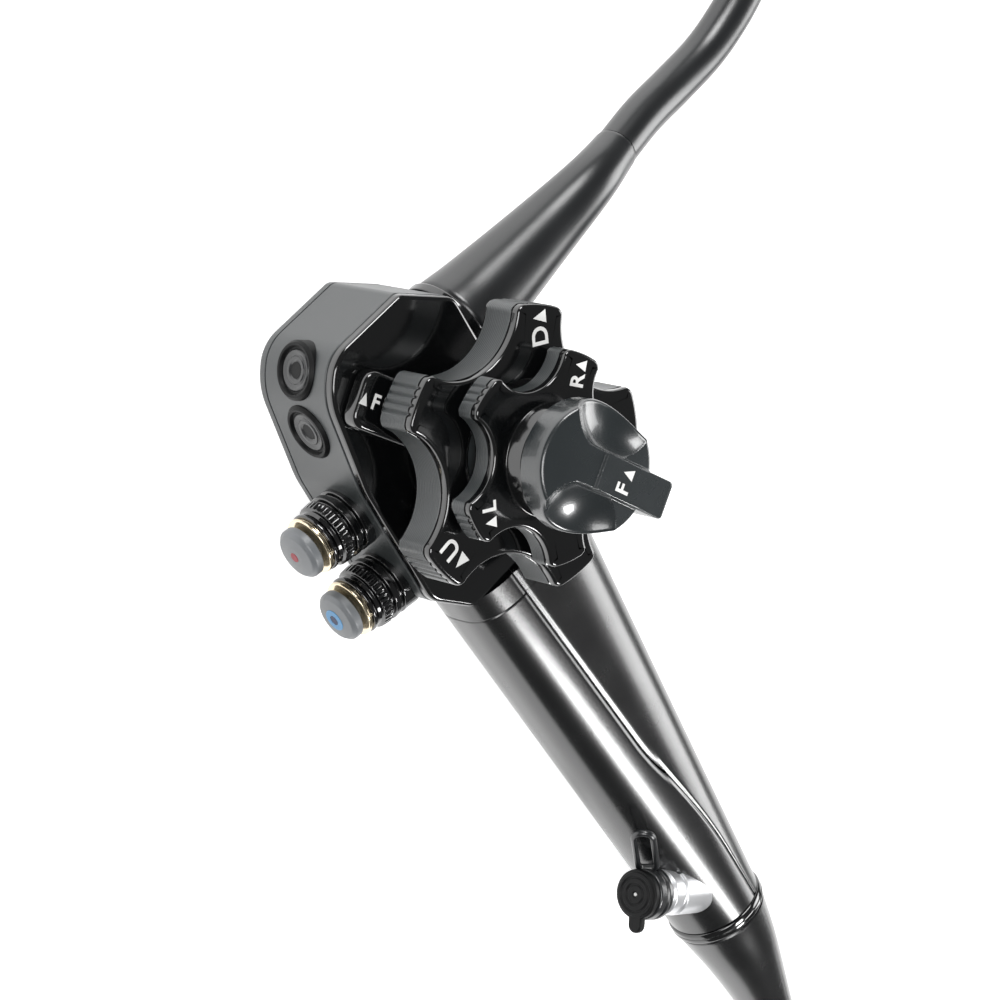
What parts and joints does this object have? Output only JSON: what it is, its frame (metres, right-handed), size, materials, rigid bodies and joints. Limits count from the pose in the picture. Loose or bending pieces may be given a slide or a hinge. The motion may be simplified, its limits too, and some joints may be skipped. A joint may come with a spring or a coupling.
{
  "type": "flexible endoscope",
  "caption": "Flexible endoscope: control section with angulation wheels, locks, valves and switches, insertion tube with a jointed bending tip, and a universal cord with its connector.",
  "frame": {"origin": "on the resting face, under the axis of the control wheels", "axes": "+Z along the wheels' axis, +Y from the grip to the head, -X the side of the valves, the universal cord leaves towards +X"},
  "size_m": [0.281, 0.3262, 0.079],
  "materials": {
    "moulded_plastic": "semi-matte moulded black",
    "gloss_plastic": "polished black",
    "rubber": "smooth black",
    "stainless_steel": "turned and brushed",
    "gilt_ring": "pale polished",
    "lens_glass": "dark coated glass"
  },
  "bodies": {
    "control_body": {"control_housing": "moulded_plastic", "back_cover": "moulded_plastic", "knob_side_cover": "gloss_plastic", "chassis_plate": "stainless_steel", "central_post": "stainless_steel", "suction_cylinder": "stainless_steel", "suction_collar": "moulded_plastic", "suction_ring": "gilt_ring", "air_water_cylinder": "stainless_steel", "air_water_collar": "moulded_plastic", "air_water_ring": "gilt_ring", "switch_1_bezel": "moulded_plastic", "switch_2_bezel": "moulded_plastic", "grip_left_shell": "moulded_plastic", "grip_right_shell": "moulded_plastic", "grip_end_ring": "moulded_plastic", "channel_port": "stainless_steel", "biopsy_valve_body": "rubber", "biopsy_valve_strap": "rubber", "insertion_boot": "rubber", "insertion_tube": "rubber", "insertion_coil": "rubber", "insertion_tube_end": "rubber", "bending_collar": "stainless_steel", "cord_collar": "moulded_plastic", "cord_boot": "rubber", "universal_cord": "rubber", "universal_coil": "rubber", "universal_cord_end": "rubber", "connector_boot": "rubber", "connector_body": "moulded_plastic", "light_guide_pin": "stainless_steel", "air_pipe": "stainless_steel", "suction_pipe": "stainless_steel", "air_water_pipe": "stainless_steel", "light_guide_bundle": "lens_glass"},
    "ud_control": {"ud_wheel": "moulded_plastic", "ud_shaft_drum": "stainless_steel"},
    "rl_control": {"rl_wheel": "moulded_plastic", "rl_shaft_drum": "stainless_steel"},
    "ud_lock": {"ud_lock_lever": "gloss_plastic"},
    "rl_lock": {"rl_lock_knob": "moulded_plastic"},
    "suction_valve": {"suction_cap": "rubber"},
    "air_water_valve": {"air_water_cap": "rubber"},
    "switch_1": {"switch_1_button": "rubber"},
    "switch_2": {"switch_2_button": "rubber"},
    "biopsy_lid": {"biopsy_valve_lid": "rubber"},
    "link_1": {"bending_link_1": "stainless_steel"},
    "link_2": {"bending_link_2": "stainless_steel"},
    "link_3": {"bending_link_3": "stainless_steel"},
    "link_4": {"bending_link_4": "stainless_steel"},
    "link_5": {"bending_link_5": "stainless_steel"},
    "link_6": {"bending_link_6": "stainless_steel"},
    "link_7": {"bending_link_7": "stainless_steel"},
    "link_8": {"bending_link_8": "stainless_steel"},
    "link_9": {"bending_link_9": "stainless_steel"},
    "tip": {"distal_tip": "moulded_plastic", "objective_lens": "lens_glass", "light_lens_left": "lens_glass", "light_lens_right": "lens_glass"}
  },
  "joints": [
    {"name": "ud_wheel_turn", "type": "hinge", "parent": "control_body", "child": "ud_control", "pos_m": [0, 0, 0], "axis": [0, 0, 1], "range_deg": [-60, 140]},
    {"name": "rl_wheel_turn", "type": "hinge", "parent": "control_body", "child": "rl_control", "pos_m": [0, 0, 0], "axis": [0, 0, 1], "range_deg": [-67, 67]},
    {"name": "ud_lock_turn", "type": "hinge", "parent": "control_body", "child": "ud_lock", "pos_m": [0, 0, 0], "axis": [0, 0, 1], "range_deg": [-40, 0]},
    {"name": "rl_lock_turn", "type": "hinge", "parent": "control_body", "child": "rl_lock", "pos_m": [0, 0, 0], "axis": [0, 0, 1], "range_deg": [0, 90]},
    {"name": "suction_press", "type": "slide", "parent": "control_body", "child": "suction_valve", "axis": [0.9903, -0.1392, 0], "range_m": [0, 0.0032], "stiffness_N_per_m": 900, "springref_m": -0.001},
    {"name": "air_water_press", "type": "slide", "parent": "control_body", "child": "air_water_valve", "axis": [0.9903, -0.1392, 0], "range_m": [0, 0.0032], "stiffness_N_per_m": 900, "springref_m": -0.001},
    {"name": "switch_1_press", "type": "slide", "parent": "control_body", "child": "switch_1", "axis": [0.7547, -0.6561, 0], "range_m": [0, 0.0008], "stiffness_N_per_m": 1500, "springref_m": -0.0008},
    {"name": "switch_2_press", "type": "slide", "parent": "control_body", "child": "switch_2", "axis": [0.9848, -0.1736, 0], "range_m": [0, 0.0008], "stiffness_N_per_m": 1500, "springref_m": -0.0008},
    {"name": "biopsy_lid_open", "type": "hinge", "parent": "control_body", "child": "biopsy_lid", "pos_m": [-0.01684, -0.11674, 0.02374], "axis": [-0.2154, 0.05, -0.9752], "range_deg": [0, 110]},
    {"name": "bend_ud_1", "type": "hinge", "parent": "control_body", "child": "link_1", "pos_m": [0.2312, -0.1874, 0.0051], "axis": [0, 0, -1], "range_deg": [-18, 42]},
    {"name": "bend_rl_1", "type": "hinge", "parent": "link_1", "child": "link_2", "pos_m": [0.2312, -0.1799, 0.0051], "axis": [1, 0, 0], "range_deg": [-20.1, 20.1]},
    {"name": "bend_ud_2", "type": "hinge", "parent": "link_2", "child": "link_3", "pos_m": [0.2312, -0.1724, 0.0051], "axis": [0, 0, -1], "range_deg": [-18, 42]},
    {"name": "bend_rl_2", "type": "hinge", "parent": "link_3", "child": "link_4", "pos_m": [0.2312, -0.1649, 0.0051], "axis": [1, 0, 0], "range_deg": [-20.1, 20.1]},
    {"name": "bend_ud_3", "type": "hinge", "parent": "link_4", "child": "link_5", "pos_m": [0.2312, -0.1574, 0.0051], "axis": [0, 0, -1], "range_deg": [-18, 42]},
    {"name": "bend_rl_3", "type": "hinge", "parent": "link_5", "child": "link_6", "pos_m": [0.2312, -0.1499, 0.0051], "axis": [1, 0, 0], "range_deg": [-20.1, 20.1]},
    {"name": "bend_ud_4", "type": "hinge", "parent": "link_6", "child": "link_7", "pos_m": [0.2312, -0.1424, 0.0051], "axis": [0, 0, -1], "range_deg": [-18, 42]},
    {"name": "bend_rl_4", "type": "hinge", "parent": "link_7", "child": "link_8", "pos_m": [0.2312, -0.1349, 0.0051], "axis": [1, 0, 0], "range_deg": [-20.1, 20.1]},
    {"name": "bend_ud_5", "type": "hinge", "parent": "link_8", "child": "link_9", "pos_m": [0.2312, -0.1274, 0.0051], "axis": [0, 0, -1], "range_deg": [-18, 42]},
    {"name": "bend_rl_5", "type": "hinge", "parent": "link_9", "child": "tip", "pos_m": [0.2312, -0.1199, 0.0051], "axis": [1, 0, 0], "range_deg": [-20.1, 20.1]}
  ],
  "couplings": [
    {"joint": "bend_ud_1", "follows": "ud_wheel_turn", "ratio": 0.3},
    {"joint": "bend_rl_1", "follows": "rl_wheel_turn", "ratio": 0.3},
    {"joint": "bend_ud_2", "follows": "ud_wheel_turn", "ratio": 0.3},
    {"joint": "bend_rl_2", "follows": "rl_wheel_turn", "ratio": 0.3},
    {"joint": "bend_ud_3", "follows": "ud_wheel_turn", "ratio": 0.3},
    {"joint": "bend_rl_3", "follows": "rl_wheel_turn", "ratio": 0.3},
    {"joint": "bend_ud_4", "follows": "ud_wheel_turn", "ratio": 0.3},
    {"joint": "bend_rl_4", "follows": "rl_wheel_turn", "ratio": 0.3},
    {"joint": "bend_ud_5", "follows": "ud_wheel_turn", "ratio": 0.3},
    {"joint": "bend_rl_5", "follows": "rl_wheel_turn", "ratio": 0.3}
  ]
}
